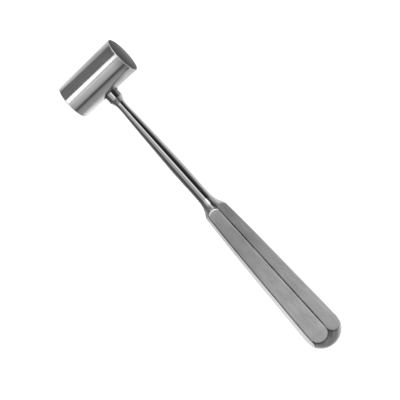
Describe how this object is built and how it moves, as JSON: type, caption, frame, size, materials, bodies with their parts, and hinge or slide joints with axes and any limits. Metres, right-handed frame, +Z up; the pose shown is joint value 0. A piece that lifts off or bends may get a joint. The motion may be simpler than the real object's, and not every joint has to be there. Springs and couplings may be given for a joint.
{
  "type": "surgical bone mallet",
  "caption": "Stainless steel bone mallet with a solid cylindrical head, a slim polished neck with a collar, and a hollow six-sided tapered satin handle with a domed end.",
  "frame": {"origin": "on the surface that the mallet lies on, under the middle of its length and width", "axes": "+X through the head's two striking faces, +Y along the neck and handle towards the head, +Z up, normal to the plane of the head and handle"},
  "size_m": [0.0456, 0.2394, 0.026],
  "materials": {
    "head_steel": "turned and finely polished stainless steel, soft reflections, faint lengthwise grain",
    "neck_steel": "mirror-polished stainless steel",
    "handle_steel": "satin stainless steel, fine lengthwise brushing, slightly mottled",
    "weld_steel": "weld metal ground flush and polished",
    "braze_metal": "dark smooth braze fillet",
    "pin_steel": "plain machined stainless steel"
  },
  "bodies": {
    "root": {"striking_head": "head_steel", "head_lock_pin": "pin_steel", "head_braze_fillet": "braze_metal", "neck_shaft": "neck_steel", "mouth_weld_bead": "weld_steel", "mouth_bush": "pin_steel", "tang_cross_pin": "pin_steel", "handle_shell_upper": "handle_steel", "handle_shell_lower": "handle_steel", "handle_seam_weld": "weld_steel"}
  },
  "joints": []
}
